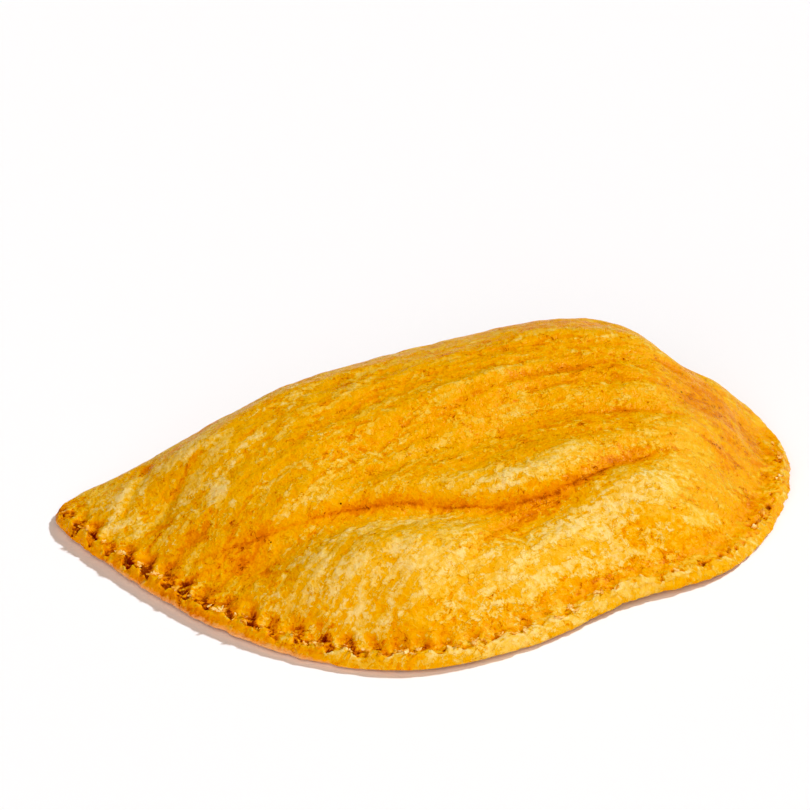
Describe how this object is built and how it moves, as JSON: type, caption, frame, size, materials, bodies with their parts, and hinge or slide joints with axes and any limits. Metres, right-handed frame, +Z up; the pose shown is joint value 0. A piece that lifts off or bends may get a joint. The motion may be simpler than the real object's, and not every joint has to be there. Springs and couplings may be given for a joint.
{
  "type": "jamaican patty",
  "caption": "Half-moon baked pastry turnover with a fork-crimped curved edge, a rounded fold and an uneven puffed top, lying flat.",
  "frame": {"origin": "middle of the box on the flat base the patty rests on", "axes": "+X from the pointed left tip to the blunt right tip, +Y to the folded back, +Z up"},
  "size_m": [0.16, 0.112, 0.0242],
  "materials": {
    "baked_pastry": "flaky golden pastry, egg-yellow with pale ridges and browned crimps, slight oily gloss"
  },
  "bodies": {
    "root": {"patty": "baked_pastry"}
  },
  "joints": []
}
